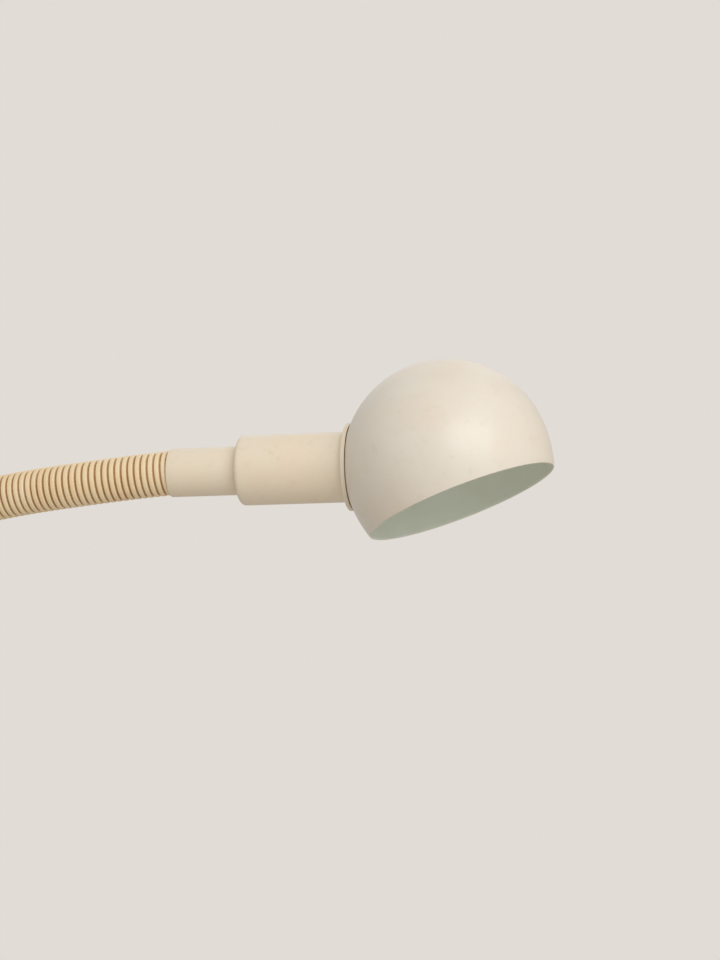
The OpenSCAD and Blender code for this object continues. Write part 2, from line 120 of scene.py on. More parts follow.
def setCamera():
    view = {"azimuth": 22.57, "elevation": -5.0, "distance": 1.8154, "lens": 105,
            "right": -0.0566, "up": -0.0107, "roll": 0.22}
    a, e = math.radians(view["azimuth"]), math.radians(view["elevation"])
    back = Vector((math.sin(a) * math.cos(e), -math.cos(a) * math.cos(e), math.sin(e)))
    right = Vector((math.cos(a), math.sin(a), 0))
    top = back.cross(right)
    target = domeCentre + right * view["right"] + top * view["up"]
    data = bpy.data.cameras.new("camera")
    data.lens = view["lens"]
    data.sensor_width = 36
    camera = bpy.data.objects.new("camera", data)
    roll = Matrix.Rotation(math.radians(view["roll"]), 4, "Z")
    turn = Matrix((right, top, back)).transposed().to_4x4() @ roll
    camera.matrix_world = Matrix.Translation(target + back * view["distance"]) @ turn
    bpy.context.scene.collection.objects.link(camera)
    bpy.context.scene.camera = camera
    bpy.context.scene.view_settings.view_transform = "Standard"
    return right, back


def tone(red, green, blue):
    # a screen colour from 0 to 255 as a linear one
    def linear(value):
        value /= 255
        return value / 12.92 if value <= 0.04045 else ((value + 0.055) / 1.055) ** 2.4
    return (linear(red), linear(green), linear(blue), 1)


class Lead:
    # an output socket that can be used in an expression
    def __init__(self, bench, socket):
        self.bench = bench
        self.socket = socket

    def maths(self, operation, first, second):
        return self.bench.add("ShaderNodeMath", {"operation": operation}, {0: first, 1: second})

    def __add__(self, other):
        return self.maths("ADD", self, other)

    def __radd__(self, other):
        return self.maths("ADD", other, self)

    def __sub__(self, other):
        return self.maths("SUBTRACT", self, other)

    def __rsub__(self, other):
        return self.maths("SUBTRACT", other, self)

    def __mul__(self, other):
        return self.maths("MULTIPLY", self, other)

    def __rmul__(self, other):
        return self.maths("MULTIPLY", other, self)

    def __truediv__(self, other):
        return self.maths("DIVIDE", self, other)

    def __gt__(self, other):
        return self.maths("GREATER_THAN", self, other)


class Bench:
    # the nodes of one tree, and the ways they are put down
    def __init__(self, tree):
        self.tree = tree

    def add(self, kind, settings=None, values=None, output=0):
        node = self.tree.nodes.new(kind)
        for key, value in (settings or {}).items():
            setattr(node, key, value)
        for key, value in (values or {}).items():
            self.feed(node.inputs[key], value)
        return Lead(self, node.outputs[output]) if node.outputs else None

    def feed(self, socket, value):
        if isinstance(value, Lead):
            self.tree.links.new(value.socket, socket)
        else:
            socket.default_value = value

    def place(self):
        return self.add("ShaderNodeTexCoord", output="Object")

    def noise(self, place, scale, detail=3, roughness=0.5):
        values = {"Vector": place, "Scale": scale, "Detail": detail, "Roughness": roughness}
        return self.add("ShaderNodeTexNoise", {}, values)

    def step(self, value, low, high):
        # 0 below low, 1 above high, smooth between them
        settings = {"interpolation_type": "SMOOTHSTEP"}
        return self.add("ShaderNodeMapRange", settings, {0: value, 1: low, 2: high})

    def mix(self, factor, first, second):
        return self.add("ShaderNodeMix", {"data_type": "RGBA"}, {0: factor, 6: first, 7: second}, 2)

    def specks(self, place, perMetre, size, share):
        # small round dots in a share of the cells of a loose grid
        distance = self.add("ShaderNodeTexVoronoi", {}, {"Vector": place, "Scale": perMetre})
        cell = Lead(self, distance.socket.node.outputs["Color"])
        chance = self.add("ShaderNodeSeparateColor", {}, {0: cell})
        return self.step(distance, size, size * 0.4) * (chance > 1 - share)

    def bump(self, height, strength, distance):
        values = {"Height": height, "Strength": strength, "Distance": distance}
        return self.add("ShaderNodeBump", {}, values)


def newMaterial(name, constants):
    material = bpy.data.materials.new(name)
    material.use_nodes = True
    surface = material.node_tree.nodes["Principled BSDF"]
    for socket, value in constants.items():
        surface.inputs[socket].default_value = value
    return material, Bench(material.node_tree), surface


def setSurface(bench, surface, leads):
    for socket, lead in leads.items():
        bench.feed(surface.inputs[socket], lead)


def setWorld():
    look = {"wall": tone(225, 220, 214), "ambient": (1.0, 0.985, 0.955, 1), "ambientStrength": 0.57}
    world = bpy.data.worlds.new("studio")
    world.use_nodes = True
    bench = Bench(world.node_tree)
    world.node_tree.nodes.clear()
    wall = bench.add("ShaderNodeBackground", {}, {"Color": look["wall"], "Strength": 1.0})
    ambient = {"Color": look["ambient"], "Strength": look["ambientStrength"]}
    soft = bench.add("ShaderNodeBackground", {}, ambient)
    seen = bench.add("ShaderNodeLightPath", output="Is Camera Ray")
    both = bench.add("ShaderNodeMixShader", {}, {0: seen, 1: soft, 2: wall})
    bench.add("ShaderNodeOutputWorld", {}, {"Surface": both})
    bpy.context.scene.world = world


def addLight(name, position, target, size, power, colour):
    data = bpy.data.lights.new(name, "AREA")
    data.shape = "RECTANGLE"
    data.size, data.size_y = size
    data.energy = power
    data.color = colour
    lamp = bpy.data.objects.new(name, data)
    lamp.matrix_world = placeAlong(position, position - target)
    bpy.context.scene.collection.objects.link(lamp)


def setLights(right, back):
    # each light's direction from the dome, distance, width and height, power and colour
    window, room = (1.0, 0.985, 0.96), (1.0, 0.97, 0.93)
    lights = {
        "windowLight": (right * 0.36 + up * 0.50 + back * 0.79, 2.3, (1.3, 2.0), 25, window),
        "lowFill": (right * 0.62 - up * 0.45 + back * 0.64, 1.9, (1.4, 0.8), 3, window),
        "backFill": (up * 1.1 - back * 1.6, 1.5, (2.2, 2.2), 6, room),
    }
    for name, (direction, distance, size, power, colour) in lights.items():
        addLight(name, domeCentre + direction * distance, domeCentre, size, power, colour)


def makeFloor():
    look = {"radius": 6.0, "below": 0.0005, "sides": 96,
            "colour": tone(212, 208, 202), "mottle": tone(207, 202, 195)}
    material, bench, surface = newMaterial("paleFloor", {"Roughness": 0.8})
    colour = bench.mix(bench.noise(bench.place(), 3, 4), look["colour"], look["mottle"])
    setSurface(bench, surface, {"Base Color": colour})
    mesh = bpy.data.meshes.new("floor")
    floor = bpy.data.objects.new("floor", mesh)
    shape = bmesh.new()
    bmesh.ops.create_circle(shape, cap_ends=True, segments=look["sides"], radius=look["radius"])
    bmesh.ops.translate(shape, verts=shape.verts, vec=(0, 0, -look["below"]))
    shape.to_mesh(mesh)
    shape.free()
    mesh.materials.append(material)
    bpy.context.scene.collection.objects.link(floor)


setWorld()
setLights(*setCamera())
makeFloor()
print("camera, light and floor set")


# finishes

def makeEnamel(name, colours, gloss):
    # sprayed enamel that has yellowed, with tiny specks and a fine orange peel
    look = {"patchesPerMetre": 14, "grimePerMetre": 126, "scuffsPerMetre": 160, "peelPerMetre": 900,
            "specksPerMetre": 55, "speckSize": 0.035, "speckShare": 0.16}
    constants = {"IOR": 1.5, "Coat Roughness": 0.22, "Coat IOR": 1.45}
    material, bench, surface = newMaterial(name, constants)
    place = bench.place()
    patches = bench.noise(place, look["patchesPerMetre"], 5, 0.62)
    grime = bench.noise(place, look["grimePerMetre"], 6, 0.7)
    peel = bench.noise(place, look["peelPerMetre"], 2)
    specks = bench.specks(place, look["specksPerMetre"], look["speckSize"], look["speckShare"])
    scuffs = bench.step(bench.noise(place, look["scuffsPerMetre"], 8, 0.75), 0.60, 0.72)
    colour = bench.mix(bench.step(patches, 0.32, 0.70), colours["clean"], colours["aged"])
    colour = bench.mix(bench.step(grime, 0.52, 0.80) * 0.35, colour, colours["grime"])
    colour = bench.mix(specks * 0.75, colour, colours["speck"])
    roughness = gloss["roughness"] + patches * 0.10 + scuffs * 0.12
    normal = bench.bump(peel + scuffs * 0.6 - specks * 1.5, 0.16, 0.00012)
    setSurface(bench, surface, {"Base Color": colour, "Roughness": roughness,
                                "Coat Weight": gloss["coat"] - scuffs * gloss["coat"] * 0.7,
                                "Normal": normal})
    return material


def makeInsidePaint():
    # matt grey-white paint on the inner face of the dome
    material, bench, surface = newMaterial("insidePaint", {"IOR": 1.4})
    place = bench.place()
    cloud = bench.noise(place, 22, 5, 0.6)
    grain = bench.noise(place, 1400, 3)
    colour = bench.mix(bench.step(cloud, 0.3, 0.72), tone(245, 250, 240), tone(238, 242, 228))
    setSurface(bench, surface, {"Base Color": colour, "Roughness": 0.62 + cloud * 0.2,
                                "Normal": bench.bump(grain, 0.25, 0.0001)})
    return material


def makeNeckPlastic():
    # ribbed cover: soft sheen on the crests, the grooves darkened to brown, partly dirt and partly painted
    # shade
    look = {"crest": tone(250, 229, 192), "aged": tone(244, 217, 172), "dirtAndShade": tone(168, 122, 74)}
    material, bench, surface = newMaterial("neckPlastic", {"IOR": 1.46, "Subsurface Scale": 0.002})
    place = bench.place()
    groove = bench.add("ShaderNodeAttribute", {"attribute_name": "groove"}, output="Fac")
    patches = bench.noise(place, 26, 5, 0.6)
    grit = bench.noise(place, 420, 5, 0.7)
    colour = bench.mix(bench.step(patches, 0.3, 0.7), look["crest"], look["aged"])
    # every groove is darkened towards brown: partly dirt caught in it, partly painted shade in the recess
    # between ribs
    dirtAndShade = bench.step(groove + (grit - 0.5) * 0.5, 0.25, 1.05) * (0.62 + patches * 0.5)
    colour = bench.mix(dirtAndShade, colour, look["dirtAndShade"])
    specks = bench.specks(place, 150, 0.07, 0.12)
    colour = bench.mix(specks * 0.5, colour, look["dirtAndShade"])
    setSurface(bench, surface, {"Base Color": colour, "Roughness": 0.42 + dirtAndShade * 0.35 + patches * 0.1,
                                "Normal": bench.bump(grit, 0.12, 0.0002)})
    return material


def makeMetal(name, colours, roughness, brushed=(1, 1, 1)):
    material, bench, surface = newMaterial(name, {"IOR": 1.5})
    place = bench.add("ShaderNodeMapping", {}, {"Vector": bench.place(), "Scale": brushed})
    tarnish = bench.noise(place, 90, 6, 0.65)
    fine = bench.noise(place, 1500, 3, 0.6)
    colour = bench.mix(bench.step(tarnish, 0.40, 0.75), colours[0], colours[1])
    setSurface(bench, surface, {"Base Color": colour, "Metallic": 1 - tarnish * 0.12,
                                "Roughness": roughness + tarnish * 0.2 + fine * 0.08,
                                "Normal": bench.bump(fine, 0.12, 0.0001)})
    return material


def makeCastIron():
    material, bench, surface = newMaterial("castIron", {"IOR": 1.5})
    place = bench.place()
    sand = bench.noise(place, 700, 6, 0.7)
    rust = bench.step(bench.noise(place, 40, 7, 0.7), 0.55, 0.75)
    colour = bench.mix(rust * 0.7, tone(74, 74, 76), tone(104, 72, 52))
    setSurface(bench, surface, {"Base Color": colour, "Metallic": 0.7 - rust * 0.6,
                                "Roughness": 0.55 + rust * 0.3,
                                "Normal": bench.bump(sand, 0.5, 0.0006)})
    return material


def makeMoulding(name, colours, roughness, grainPerMetre):
    # moulded plastic, rubber or glazed porcelain
    material, bench, surface = newMaterial(name, {"IOR": 1.48})
    place = bench.place()
    cloud = bench.noise(place, 35, 5, 0.6)
    grain = bench.noise(place, grainPerMetre, 4, 0.6)
    colour = bench.mix(bench.step(cloud, 0.35, 0.7), colours[0], colours[1])
    setSurface(bench, surface, {"Base Color": colour, "Roughness": roughness + cloud * 0.15,
                                "Normal": bench.bump(grain, 0.2, 0.00015)})
    return material


def makeBulbGlass():
    # opal glass, white from the inside
    constants = {"Transmission Weight": 0.35, "IOR": 1.45, "Coat Weight": 0.6, "Coat Roughness": 0.05}
    material, bench, surface = newMaterial("opalGlass", constants)
    place = bench.place()
    cloud = bench.noise(place, 60, 4)
    colour = bench.mix(cloud, tone(246, 243, 236), tone(236, 232, 222))
    setSurface(bench, surface, {"Base Color": colour, "Roughness": 0.24 + cloud * 0.12})
    return material


enamelColours = {"clean": tone(242, 230, 210), "aged": tone(243, 226, 201),
                 "grime": tone(205, 190, 160), "speck": tone(122, 92, 62)}
shadeColours = {"clean": tone(237, 229, 216), "aged": tone(235, 222, 204),
                "grime": tone(214, 202, 182), "speck": tone(150, 128, 98)}
agedEnamel = makeEnamel("agedEnamel", enamelColours, {"roughness": 0.40, "coat": 0.12})
shadeEnamel = makeEnamel("shadeEnamel", shadeColours, {"roughness": 0.34, "coat": 0.16})
insidePaint = makeInsidePaint()
neckPlastic = makeNeckPlastic()
plainSteel = makeMetal("plainSteel", (tone(176, 177, 178), tone(140, 138, 134)), 0.28)
chromedSteel = makeMetal("chromedSteel", (tone(205, 206, 208), tone(176, 175, 172)), 0.12)
agedBrass = makeMetal("agedBrass", (tone(198, 164, 96), tone(150, 116, 62)), 0.28)
castIron = makeCastIron()
padRubber = makeMoulding("padRubber", (tone(54, 51, 48), tone(66, 62, 58)), 0.72, 1600)
darkPlastic = makeMoulding("darkPlastic", (tone(48, 44, 41), tone(60, 55, 50)), 0.42, 1200)
porcelain = makeMoulding("porcelain", (tone(236, 233, 226), tone(228, 223, 212)), 0.14, 260)
switchPlastic = makeMoulding("switchPlastic", (tone(232, 223, 204), tone(226, 212, 186)), 0.36, 900)
flexSheath = makeMoulding("flexSheath", (tone(226, 221, 208), tone(214, 206, 188)), 0.45, 1100)
opalGlass = makeBulbGlass()
print("finishes made")


# turned pieces

def arc(centre, radius, start, end, steps):
    # points on an arc about (r, z), angles in degrees from the outward direction
    turns = [math.radians(start + (end - start) * i / steps) for i in range(steps + 1)]
    return [(centre[0] + radius * math.cos(t), centre[1] + radius * math.sin(t)) for t in turns]


def softened(corners, steps=5):
    # a closed outline of (r, z, radius) corners, each rounded to its radius
    outline = []
    for i, (r, z, radius) in enumerate(corners):
        here = Vector((r, z))
        before = Vector(corners[i - 1][:2]) - here
        after = Vector(corners[(i + 1) % len(corners)][:2]) - here
        if radius == 0:
            outline.append((r, z))
            continue
        half = before.angle(after) / 2
        reach = min(radius / math.tan(half), before.length * 0.48, after.length * 0.48)
        centre = here + (before.normalized() + after.normalized()).normalized() * reach / math.cos(half)
        first = here + before.normalized() * reach - centre
        last = here + after.normalized() * reach - centre
        start = math.atan2(first.y, first.x)
        sweep = (math.atan2(last.y, last.x) - start + math.pi) % (2 * math.pi) - math.pi
        for k in range(steps + 1):
            turn = start + sweep * k / steps
            x, y = math.cos(turn), math.sin(turn)
            outline.append((centre.x + first.length * x, centre.y + first.length * y))
    return outline


def finishMesh(piece, sharpFrom=38):
    piece.data.shade_smooth()
    piece.data.set_sharp_from_angle(angle=math.radians(sharpFrom))


def lathe(name, outline, place, materials, steps=128, finishOf=None):
    # turns a closed outline of (r, z) points about z
    shape = bmesh.new()
    rings = []
    for r, z in outline:
        count = 1 if r < 1e-6 else steps
        turns = [2 * math.pi * k / steps for k in range(count)]
        ring = [Vector((r * math.cos(t), r * math.sin(t), z)) for t in turns]
        rings.append([shape.verts.new(place @ point) for point in ring])
    for i, ring in enumerate(rings):
        following = rings[(i + 1) % len(rings)]
        if len(ring) == 1 and len(following) == 1:
            continue
        for k in range(steps):
            n = k + 1
            corners = [ring[k % len(ring)], ring[n % len(ring)],
                       following[n % len(following)], following[k % len(following)]]
            face = shape.faces.new(dict.fromkeys(corners))
            if finishOf:
                face.material_index = finishOf(i)
    bmesh.ops.recalc_face_normals(shape, faces=shape.faces)
    mesh = bpy.data.meshes.new(name)
    shape.to_mesh(mesh)
    shape.free()
    for material in materials:
        mesh.materials.append(material)
    piece = bpy.data.objects.new(name, mesh)
    bpy.context.scene.collection.objects.link(piece)
    finishMesh(piece)
    return piece


def settle(piece):
    # what the modifiers make becomes the piece's own plain mesh
    evaluated = piece.evaluated_get(bpy.context.evaluated_depsgraph_get())
    mesh = bpy.data.meshes.new_from_object(evaluated)
    mesh.name = piece.name
    piece.modifiers.clear()
    piece.data = mesh


def drill(piece, origin, axis, radius, length):
    # cuts a round hole from origin along the axis
    place = placeAlong(origin, axis)
    outline = [(0, 0), (radius, 0), (radius, length), (0, length)]
    rod = lathe("drill", outline, place, piece.data.materials, 48)
    cut = piece.modifiers.new("drill", "BOOLEAN")
    cut.operation = "DIFFERENCE"
    cut.solver = "EXACT"
    cut.object = rod
    settle(piece)
    bpy.data.objects.remove(rod)
    finishMesh(piece)


def standIn(piece, slotName, *nodeNames):
    # the piece takes the nodes' place and moves with the body of the first
    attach(piece, nodes[nodeNames[0]]["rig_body"])
    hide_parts(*nodeNames)


def makeHousing():
    # straight body with a rounded back, a cove and a dished flange that follows the dome
    size = {"wall": 1.2 * mm, "backRound": 3 * mm, "hole": 6.2 * mm, "rim": 3 * mm, "radius": 23 * mm,
            "edge": 0.6 * mm, "backExtra": 0.6 * mm}
    low, high, lipRadius = spanOf("housing", headMouth, headAxis)
    domeZ = (domeCentre - headMouth).dot(headAxis)
    dish = math.hypot(domeZ - high, lipRadius)

    def onDish(radius):
        return radius, domeZ - math.sqrt(dish ** 2 - radius ** 2), 0

    r, back = size["radius"], high - size["rim"]
    hole, edge = size["hole"], size["edge"]
    cove = (lipRadius - r) * 0.6
    inner = r - size["wall"]
    floor = low + size["wall"] + size["backExtra"]
    body = softened([(hole, low, 0.3 * mm), (r, low, size["backRound"]), (r, back - cove, 0)])
    hollow = arc((r + cove, back - cove), cove, 180, 90, 8)
    face = [onDish(r + (lipRadius - r) * k / 6) for k in (5, 4, 3, 2, 1, 0)]
    rim = [(r + cove, back, 0), (lipRadius, back, edge), (lipRadius, high, edge)]
    lip = softened(rim + face + [onDish(inner), (inner, floor, 1 * mm), (hole, floor, 0)])
    sideLoops = [(r, low + (back - low) * share) for share in (0.08, 0.3, 0.5, 0.7, 0.88)]
    outline = body[:-1] + sideLoops + hollow + lip[1:]
    piece = lathe("lampholderHousing", outline, headPlace, [agedEnamel], 160)
    standIn(piece, "enamel", "housing")


def makeSleeve(name, nodeName, screwName, place, bores):
    # the turned sleeve that takes one end of the neck in its mouth, which is at z = 0
    size = {"mouth": 15.2 * mm, "mouthDepth": 8 * mm, "edge": 0.9 * mm,
            "screwPlay": 0.05 * mm, "screwFrom": 5 * mm, "screwReach": 30 * mm}
    origin, axis = place.translation, place.col[2].to_3d()
    low, high, radius = spanOf(nodeName, origin, axis)
    bores = [(size["mouth"], size["mouthDepth"])] + bores
    corners = [(size["mouth"], low, 0.5 * mm), (radius, low, size["edge"])]
    corners += [(radius, high * share, 0) for share in (0.1, 0.35, 0.65, 0.9)]
    corners += [(radius, high, 0.5 * mm), (bores[-1][0], high, 0.2 * mm)]
    for (boreRadius, _), (outerRadius, depth) in reversed(list(zip(bores[1:], bores))):
        corners += [(boreRadius, depth, 0), (outerRadius, depth, 0)]
    piece = lathe(name, softened(corners), place, [agedEnamel], 128)
    screwLow, screwHigh, _ = spanOf(screwName, origin, axis)
    points = [vertex.co for vertex in nodes[screwName].data.vertices]
    middle = sum(points, Vector()) / len(points) - origin
    outward = middle - axis * middle.dot(axis)
    foot = origin + axis * (screwLow + screwHigh) / 2 + outward.normalized() * size["screwFrom"]
    drill(piece, foot, outward, (screwHigh - screwLow) / 2 + size["screwPlay"], size["screwReach"])
    standIn(piece, "enamel", nodeName)


def makeShade():
    # dome and skirt in one wall, with a beaded rim, its inner face in its own paint
    size = {"wall": 1 * mm, "rimNarrowing": 4.15 * mm, "bead": 0.5 * mm, "tilt": 69.3,
            "turn": -1.76, "hole": 20.3 * mm}
    tilt = math.radians(size["tilt"])
    side = Matrix.Rotation(math.radians(size["turn"]), 3, headAxis) @ headDown
    opening = headAxis * math.cos(tilt) + side * math.sin(tilt)
    place = placeAlong(domeCentre, -opening)
    low, _, radius = spanOf("shade", domeCentre, -opening)
    rimRadius = radius - size["rimNarrowing"]
    # radius and sweep of the skirt's arc, which starts upright at the widest circle
    bend = (low ** 2 + size["rimNarrowing"] ** 2) / (2 * size["rimNarrowing"])
    sweep = math.degrees(math.asin(-low / bend))
    wall, bead = size["wall"], size["bead"]
    outer = arc((0, 0), radius, 90, 0, 56) + arc((radius - bend, 0), bend, 0, -sweep, 16)[1:-1]
    edge = arc((rimRadius - bead, low + bead), bead, -5, -175, 8)
    inner = arc((radius - bend, 0), bend - wall, -sweep * 0.93, 0, 14)
    inner += arc((0, 0), radius - wall, 0, 90, 56)[1:]
    outer[0], inner[-1] = (0, radius), (0, radius - wall)
    outline = outer + edge + inner
    inside = len(outer) + len(edge) - 2
    coats = [shadeEnamel, insidePaint]
    piece = lathe("domeShade", outline, place, coats, 224, lambda i: int(i >= inside))
    drill(piece, domeCentre, -headAxis, size["hole"], radius * 1.2)
    standIn(piece, "shade_enamel", "shade")


makeHousing()
headBores = [(8.55 * mm, 28 * mm), (5.05 * mm, sleeveSpan[1] - sleeveSpan[0])]
makeSleeve("headSleeve", "head_sleeve", "sleeve_screw", headPlace, headBores)
makeShade()
print("head made")


# the ribbed neck

def ribbedTree():
    # a tube along a curve with annular ribs, outside and bore apart
    tree = bpy.data.node_groups.new("ribbedNeck", "GeometryNodeTree")
    tree.interface.new_socket("Geometry", in_out="OUTPUT", socket_type="NodeSocketGeometry")
    tree.interface.new_socket("Path", in_out="INPUT", socket_type="NodeSocketGeometry")
    for name in ("Rib pitch", "Start of ribs", "Groove width", "Groove depth", "Crown", "Outer radius",
                 "Bore radius"):
        tree.interface.new_socket(name, in_out="INPUT", socket_type="NodeSocketFloat")
    for name in ("Rings", "Sides"):
        tree.interface.new_socket(name, in_out="INPUT", socket_type="NodeSocketInt")
    tree.interface.new_socket("Material", in_out="INPUT", socket_type="NodeSocketMaterial")
    bench = Bench(tree)
    given = tree.nodes.new("NodeGroupInput")

    def entry(name):
        return Lead(bench, given.outputs[name])

    path = bench.add("GeometryNodeResampleCurve", {}, {"Curve": entry("Path"), "Count": entry("Rings")})
    along = bench.add("GeometryNodeSplineParameter", output="Length")
    ribs = (along - entry("Start of ribs")) / entry("Rib pitch")
    share = bench.add("ShaderNodeMath", {"operation": "FRACT"}, {0: ribs + 1000.0})
    nearer = bench.add("ShaderNodeMath", {"operation": "MINIMUM"}, {0: share, 1: 1 - share})
    fromGroove = nearer * entry("Rib pitch")
    halfGroove = entry("Groove width") * 0.5
    groove = 1 - bench.step(fromGroove, halfGroove * 0.45, halfGroove * 1.2)
    fromCrest = entry("Rib pitch") * 0.5 - fromGroove
    slope = fromCrest / (entry("Rib pitch") * 0.5 - halfGroove)
    slope = bench.add("ShaderNodeMath", {"operation": "MINIMUM"}, {0: slope, 1: 1.0})
    radius = entry("Outer radius") - entry("Groove depth") * groove - entry("Crown") * slope * slope
    marked = bench.add("GeometryNodeStoreNamedAttribute", {"data_type": "FLOAT", "domain": "POINT"},
                       {"Geometry": path, "Name": "groove", "Value": groove})
    ring = {"Resolution": entry("Sides"), "Radius": 1.0}
    circle = bench.add("GeometryNodeCurvePrimitiveCircle", {}, ring)
    ribSides = {"Curve": marked, "Profile Curve": circle, "Scale": radius}
    outside = bench.add("GeometryNodeCurveToMesh", {}, ribSides)
    boreSides = {"Curve": path, "Profile Curve": circle, "Scale": entry("Bore radius")}
    bore = bench.add("GeometryNodeCurveToMesh", {}, boreSides)
    joined = bench.add("GeometryNodeJoinGeometry", {}, {"Geometry": bore})
    tree.links.new(outside.socket, joined.socket.node.inputs["Geometry"])
    real = bench.add("GeometryNodeRealizeInstances", {}, {"Geometry": joined})
    painted = bench.add("GeometryNodeSetMaterial", {}, {"Geometry": real, "Material": entry("Material")})
    result = tree.nodes.new("NodeGroupOutput")
    tree.links.new(painted.socket, result.inputs["Geometry"])
    return tree


def bendPath(before, corner, after, tuckBefore, tuckAfter):
    # straight in, round an arc that touches both lines, and straight out
    into, out = (corner - before), (after - corner)
    reach = into.length
    into.normalize()
    out.normalize()
    angle = into.angle(out)
    points, steps = [], 40
    for i in range(steps + 1):
        if angle < 1e-4:
            points.append(before.lerp(after, i / steps))
            continue
        radius = reach / math.tan(angle / 2)
        turn = angle * i / steps
        towards = (out - into * out.dot(into)).normalized()
        points.append(before + into * radius * math.sin(turn) + towards * radius * (1 - math.cos(turn)))
    length = reach * 2 if angle < 1e-4 else reach / math.tan(angle / 2) * angle
    if tuckBefore:
        points.insert(0, before - into * tuckBefore)
    if tuckAfter:
        points.append(after + out * tuckAfter)
    return points, length


def closeEnds(piece):
    # joins the outside to the bore with a flat ring at each end
    shape = bmesh.new()
    shape.from_mesh(piece.data)
    loose = [edge for edge in shape.edges if edge.is_boundary]
    ends = []
    while loose:
        loop = {loose[0]}
        front = [loose[0]]
        while front:
            edge = front.pop()
            for vertex in edge.verts:
                for other in vertex.link_edges:
                    if other.is_boundary and other not in loop:
                        loop.add(other)
                        front.append(other)
        loose = [edge for edge in loose if edge not in loop]
        middle = sum((v.co for e in loop for v in e.verts), Vector()) / (2 * len(loop))
        ends.append((middle, list(loop)))
    while ends:
        middle, loop = ends.pop()
        partner = min(ends, key=lambda end: (end[0] - middle).length)
        ends.remove(partner)
        bmesh.ops.bridge_loops(shape, edges=loop + partner[1])
    bmesh.ops.recalc_face_normals(shape, faces=shape.faces)
    shape.to_mesh(piece.data)
    shape.free()


def makeNeck():
    # one length of cover for each joint, from halfway before it to halfway after it
    size = {"ribsPerJoint": 10, "tuckedRibs": 0.875, "ringsPerRib": 24, "sides": 72,
            "grooveWidth": 1.75 * mm, "grooveDepth": 1.25 * mm, "crown": 0.16 * mm,
            "outerRadius": 14.8 * mm, "boreRadius": 9.2 * mm}
    tree = ribbedTree()
    sockets = {item.name: item.identifier for item in tree.interface.items_tree if item.in_out == "INPUT"}
    chain = neckJoints()
    centres = [Vector(joint["pos_m"]) for joint in chain]
    half = (centres[1] - centres[0]).length / 2
    stemMouth = centres[0] - up * half
    middles = [stemMouth] + [(a + b) / 2 for a, b in zip(centres, centres[1:])] + [headMouth]
    for i, joint in enumerate(chain):
        first, last = i == 0, i == len(chain) - 1
        ribPitch = half * 2 / size["ribsPerJoint"]
        tuck = ribPitch * size["tuckedRibs"]
        points, length = bendPath(middles[i], centres[i], middles[i + 1], tuck * first, tuck * last)
        pitch = length / size["ribsPerJoint"]
        curve = bpy.data.curves.new("neckPath", "CURVE")
        curve.dimensions = "3D"
        spline = curve.splines.new("POLY")
        spline.points.add(len(points) - 1)
        for spot, point in zip(spline.points, points):
            spot.co = (*point, 1)
        path = bpy.data.objects.new("neckPath", curve)
        bpy.context.scene.collection.objects.link(path)
        growth = path.modifiers.new("ribs", "NODES")
        growth.node_group = tree
        ribs = size["ribsPerJoint"] + size["tuckedRibs"] * (first + last)
        values = {"Rib pitch": pitch, "Start of ribs": tuck * first, "Groove width": size["grooveWidth"],
                  "Groove depth": size["grooveDepth"], "Crown": size["crown"],
                  "Outer radius": size["outerRadius"], "Bore radius": size["boreRadius"],
                  "Rings": round(ribs * size["ringsPerRib"]) + 1, "Sides": size["sides"],
                  "Material": neckPlastic}
        for name, value in values.items():
            growth[sockets[name]] = value
        evaluated = path.evaluated_get(bpy.context.evaluated_depsgraph_get())
        mesh = bpy.data.meshes.new_from_object(evaluated)
        mesh.name = f"ribbedCover{i + 1:02d}"
        piece = bpy.data.objects.new(mesh.name, mesh)
        bpy.context.scene.collection.objects.link(piece)
        bpy.data.objects.remove(path)
        closeEnds(piece)
        finishMesh(piece, 60)
        middles[i + 1]
        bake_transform(piece)
        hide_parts(f"neck_cover_{i:02d}")
        if last:
            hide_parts(f"neck_cover_{i + 1:02d}")


makeNeck()
print("neck made")


# stem and base

def makeStem():
    size = {"wall": 1.5 * mm, "edge": 0.3 * mm, "ferruleBore": 8.55 * mm, "plugDepth": 10 * mm,
            "tubeBore": 14.05 * mm}
    low, high, radius = spanOf("stem_tube", Vector(), up)
    inner = radius - size["wall"]
    corners = [(inner, low, 0), (radius, low, size["edge"])]
    corners += [(radius, low + (high - low) * i / 24, 0) for i in range(1, 24)]
    corners += [(radius, high, size["edge"]), (inner, high, 0)]
    piece = lathe("stemTube", softened(corners), placeAlong(Vector(), up), [agedEnamel], 112)
    standIn(piece, "enamel", "stem_tube")
    bottom, top, _ = spanOf("stem_ferrule", Vector(), up)
    bores = [(size["ferruleBore"], size["plugDepth"]), (size["tubeBore"], top - bottom)]
    place = placeAlong(Vector((0, 0, top)), -up)
    makeSleeve("stemFerrule", "stem_ferrule", "ferrule_screw", place, bores)


def makeCollar():
    size = {"lip": 2.5 * mm, "topWidth": 2.5 * mm, "edge": 0.9 * mm, "play": 0.05 * mm}
    stemRadius = spanOf("stem_tube", Vector(), up)[2]
    low, high, radius = spanOf("stem_collar", Vector(), up)
    top = stemRadius + size["topWidth"]
    cove = min(radius - top, high - low - size["lip"])
    bore = stemRadius + size["play"]
    foot = low + size["lip"]
    outline = softened([(bore, low, 0), (radius, low, 0.3 * mm), (radius, foot, 0)])
    # where the cove reaches the outer wall, its first point is already there
    outline += arc((top + cove, foot + cove), cove, 270, 180, 14)[cove + top > radius - 1e-6:]
    outline += softened([(top, foot + cove, 0), (top, high, size["edge"]), (bore, high, 0.2 * mm),
                         (bore, low, 0)])[1:-1]
    piece = lathe("stemCollar", outline, placeAlong(Vector(), up), [agedEnamel], 144)
    standIn(piece, "enamel", "stem_collar")


def middleOf(nodeName):
    return sum((Vector(corner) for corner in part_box(nodeName)), Vector()) / 2


